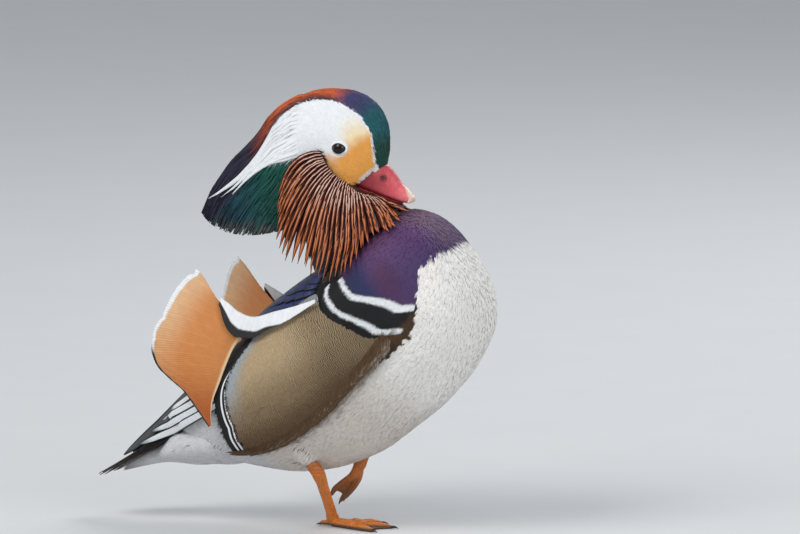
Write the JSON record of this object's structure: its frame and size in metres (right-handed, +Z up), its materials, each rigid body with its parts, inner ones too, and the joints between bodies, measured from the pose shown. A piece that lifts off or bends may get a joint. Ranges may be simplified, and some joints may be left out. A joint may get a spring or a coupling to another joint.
{
  "type": "mandarin duck model",
  "caption": "Still life-size drake mandarin duck: upright on one foot, head drawn back, crest and ruff spread, orange wing sails raised.",
  "frame": {"origin": "on the floor under the middle of the bird's box", "axes": "+X the way the breast faces, +Y the bird's left, +Z up"},
  "size_m": [0.2762, 0.1248, 0.2913],
  "materials": {
    "body_feathers": "soft contour feathers, purple breast, white belly",
    "neck_feathers": "rufous hackles",
    "head_feathers": "short dense feathers",
    "crest_feathers": "long silky crest feathers",
    "ruff_feathers": "pointed hackles with pale shafts",
    "bill": "horny sheath, satin",
    "bill_nail": "horn, satin",
    "eye": "wet, glossy",
    "flank_feathers": "finely barred feathers",
    "scapular_feathers": "glossy blue feathers",
    "band_feather": "stiff white vane edged black",
    "sail_feather": "stiff orange vane",
    "wing_feathers": "stiff flight feathers",
    "tail_feathers": "stiff tail feathers",
    "vent_feathers": "soft pale feathers",
    "leg": "scaly skin, satin"
  },
  "bodies": {
    "root": {"band_left": "band_feather", "band_right": "band_feather", "bill_lower": "bill", "bill_nail": "bill_nail", "bill_upper": "bill", "crest": "crest_feathers", "eye_left": "eye", "eye_right": "eye", "flank_left": "flank_feathers", "flank_right": "flank_feathers", "foot_left": "leg", "foot_right": "leg", "head": "head_feathers", "neck": "neck_feathers", "ruff_left": "ruff_feathers", "ruff_right": "ruff_feathers", "sail_left": "sail_feather", "sail_right": "sail_feather", "scapulars_left": "scapular_feathers", "scapulars_right": "scapular_feathers", "tail": "tail_feathers", "tarsus_left": "leg", "tarsus_right": "leg", "thigh_right": "vent_feathers", "torso": "body_feathers", "undertail": "vent_feathers", "wing_left": "wing_feathers", "wing_right": "wing_feathers"}
  },
  "joints": []
}
